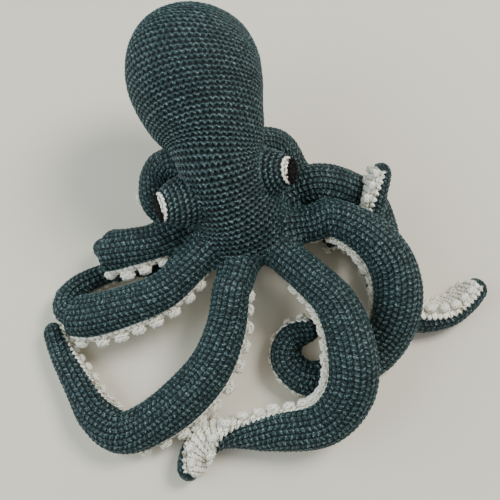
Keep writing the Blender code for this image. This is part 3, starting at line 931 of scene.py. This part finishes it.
def rounds(name, place, axis, profile, mat, seed, form=None, relief=1.0, zigzag=0.0,
           narrow=None):
    """Crochet in rounds about an axis; profile gives (out along the axis, radius).

    narrow squeezes the rounds along its own direction by its length."""
    path = catmull(profile, 24)
    length = running(np.linalg.norm(np.diff(path, axis=0), axis=1))
    total = max(2, round(length[-1] / (ROW * 0.85)))
    stations = np.linspace(0, length[-1], total * 6 + 1)
    out = np.interp(stations, length, path[:, 0])
    radius = np.interp(stations, length, path[:, 1])
    axis = unit(np.array(axis, float))
    side = unit(np.cross(axis, np.array([0.0, 0.0, 1.0])))
    other = np.cross(axis, side)
    cols = max(48, round(2 * math.pi * radius.max() / STITCH) * 7)
    theta = np.linspace(0, 2 * math.pi, cols, endpoint=False)
    ring = side * np.cos(theta)[:, None] + other * np.sin(theta)[:, None]
    if narrow is not None:
        ring = ring - narrow * (ring @ unit(narrow))[:, None]
    wave = 1 + zigzag * np.abs(2 * np.mod(theta * 11 / math.pi, 1) - 1)
    points = (np.array(place) + axis * out[:, None, None]
              + ring[None] * (radius[:, None] * wave)[..., None])
    slope_out, slope_r = np.gradient(out, stations), np.gradient(radius, stations)
    normals = unit(ring[None] * slope_out[:, None, None] - axis * slope_r[:, None, None])
    if form:
        points = grow(form, points, normals, most=6.0)
    v = stations[:, None] / length[-1] * total + np.zeros_like(theta)[None]
    whole = np.clip(np.floor(v - 1e-9), 0, total - 1).astype(int)
    middle = np.interp((np.arange(total) + 0.5) / total * length[-1], length, path[:, 1])
    count = np.maximum(6, np.round(2 * np.pi * middle / (STITCH * 0.9)))
    u = theta[None] / (2 * np.pi) * count[whole]
    height, shade = crochet_closed(u, v, count[whole], seed=seed)
    final = points + normals * ((height - ON_FORM) * relief * np.clip(
        radius / 4, 0.1, 1)[:, None])[..., None]
    marks = marks_of(height, shade)
    return grid_mesh(name, final[:, ::-1] + SHIFT, marks[:, ::-1], mat)


def scaled(profile, size):
    return [(out * size if out > -5 else out, radius * size) for out, radius in profile]


def build_eyes():
    for hand, (place, facing, size) in EYES.items():
        axis = unit(np.array(facing, float))
        low = unit(axis * axis[2] - np.array([0.0, 0.0, 1.0]))
        rear = np.cross(low, axis) * (-1 if hand == "right" else 1)
        seed = 11.0 if hand == "left" else 17.0
        mound = rounds(f"eye_{hand}_mound_crochet", place, axis,
                       scaled([(-30, 20), (-20, 19.5), (-12, 18.2), (-6, 15.8), (-2.2, 12.9),
                               (-0.2, 11.2), (0.3, 9.8), (-1.0, 8.5)], size),
                       TEAL, seed, form=f"eye_{hand}", relief=1.15)
        put(mound, "head", "teal", f"eye_{hand}_mound", fill=0.8)
        white = rounds(f"eye_{hand}_white_crochet", place, axis,
                       scaled([(-0.6, 9.6), (0.8, 10.5), (2.0, 9.9), (2.8, 7.8), (3.1, 4),
                               (3.1, 0.4)], size), CREAM, seed + 2, relief=0.8)
        put(white, "head", "cream", f"eye_{hand}_white", fill=0.6)
        # the pupil sits low and to the rear, and is a little wider than high
        middle = np.array(place) + (low * 2.3 + rear * 0.6) * size
        pupil = rounds(f"eye_{hand}_pupil_crochet", middle, axis,
                       scaled([(1.2, 8.6), (2.8, 9.2), (4.0, 8.2), (4.4, 5.0), (4.5, 0.4)],
                              size), BLACK, seed + 4, relief=0.7, zigzag=0.19,
                       narrow=low * 0.22)
        put(pupil, "head", "black", f"eye_{hand}_pupil", fill=0.6)


def build_underside():
    disc = rounds("head_underside_crochet", (HUB[0], HUB[1], 0), (0, 0, -1),
                  [(-36.5, 27), (-33.5, 26), (-32.0, 20), (-31.2, 10), (-31.0, 0.5)],
                  CREAM, 23.0, relief=0.9)
    put(disc, "head", "cream", "head_underside", fill=0.6)


# ---------------------------------------------------------------- floor, light and camera

def floor_material():
    mat = bpy.data.materials.new("pale_floor")
    mat.use_nodes = True
    shader = mat.node_tree.nodes["Principled BSDF"]
    shader.inputs["Base Color"].default_value = (*FLOOR_COLOUR, 1)
    shader.inputs["Roughness"].default_value = 0.95
    shader.inputs["Specular IOR Level"].default_value = 0.15
    return mat


def set_stage():
    mesh = bpy.data.meshes.new("floor")
    far = FLOOR_REACH
    mesh.from_pydata([(-far, -far, 0), (far, -far, 0), (far, far, 0), (-far, far, 0)], [],
                     [(0, 1, 2, 3)])
    mesh.materials.append(floor_material())
    floor = bpy.data.objects.new("floor", mesh)
    bpy.context.scene.collection.objects.link(floor)
    world = bpy.data.worlds.new("soft_room")
    bpy.context.scene.world = world
    world.use_nodes = True
    room = world.node_tree.nodes["Background"]
    room.inputs["Color"].default_value = (*ROOM_COLOUR, 1)
    room.inputs["Strength"].default_value = ROOM_STRENGTH

    def area(name, place, size, power, colour):
        light = bpy.data.lights.new(name, "AREA")
        light.shape = "DISK"
        light.size = size
        light.energy = power
        light.color = colour
        obj = bpy.data.objects.new(name, light)
        obj.location = place
        obj.rotation_euler = (-Vector(place)).to_track_quat("-Z", "Y").to_euler()
        bpy.context.scene.collection.objects.link(obj)

    area("window", (0.70, 0.38, 1.15), 0.55, 17.0, (1.0, 0.985, 0.96))
    area("fill", (-1.0, -0.1, 0.75), 1.2, 12.5, (0.80, 0.93, 1.0))


def set_camera():
    tilt = math.radians(CAMERA_TILT)
    target = Vector(CAMERA_TARGET)
    forward = Vector((0, math.sin(tilt), -math.cos(tilt)))
    camera = bpy.data.cameras.new("camera")
    camera.sensor_width = 36
    camera.lens = 45
    camera.clip_start = 0.01
    obj = bpy.data.objects.new("camera", camera)
    obj.location = target - forward * CAMERA_DISTANCE
    obj.rotation_euler = (tilt, 0, 0)
    bpy.context.scene.collection.objects.link(obj)
    bpy.context.scene.camera = obj


set_stage()
set_camera()
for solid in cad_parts.values():
    solid.data.materials.clear()
    solid.data.materials.append(STUFFING)
build_head()
build_eyes()
build_underside()
for number, arm in enumerate(arms.values()):
    build_arm(arm, number + 1)
